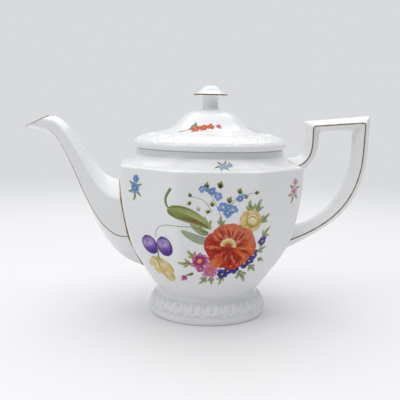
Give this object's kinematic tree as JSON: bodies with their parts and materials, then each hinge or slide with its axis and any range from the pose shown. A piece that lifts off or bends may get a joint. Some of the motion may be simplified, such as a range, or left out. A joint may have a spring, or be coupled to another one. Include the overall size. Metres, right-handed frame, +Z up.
{
  "type": "teapot",
  "caption": "Glazed porcelain teapot: eight-sided pot on a flared round foot, faceted gooseneck spout, squared loop handle and a domed lift-off lid with a knob.",
  "frame": {"origin": "on the table, below the middle of the overall length and depth", "axes": "+Z up, +X towards the handle, -X towards the spout, -Y the decorated front"},
  "size_m": [0.2652, 0.1324, 0.1756],
  "materials": {
    "body_glaze": "glossy clear glaze over white porcelain, with overglaze flower decoration and gold lines",
    "foot_glaze": "glossy clear glaze over moulded relief",
    "spout_glaze": "glossy clear glaze, gold lines along the edges",
    "strainer_porcelain": "glossy clear glaze",
    "handle_glaze": "glossy clear glaze, gold lines along the edges",
    "lid_glaze": "glossy clear glaze over a moulded relief border",
    "flange_porcelain": "unglazed where it meets the neck",
    "knob_glaze": "glossy clear glaze with a gold rim"
  },
  "bodies": {
    "pot": {"body_shell": "body_glaze", "foot": "foot_glaze", "spout": "spout_glaze", "strainer": "strainer_porcelain", "handle": "handle_glaze"},
    "lid": {"lid_shell": "lid_glaze", "lid_flange": "flange_porcelain", "knob": "knob_glaze"}
  },
  "joints": [
    {"name": "lid_lift", "type": "slide", "parent": "pot", "child": "lid", "axis": [0, 0, 1], "range_m": [0, 0.06]}
  ]
}
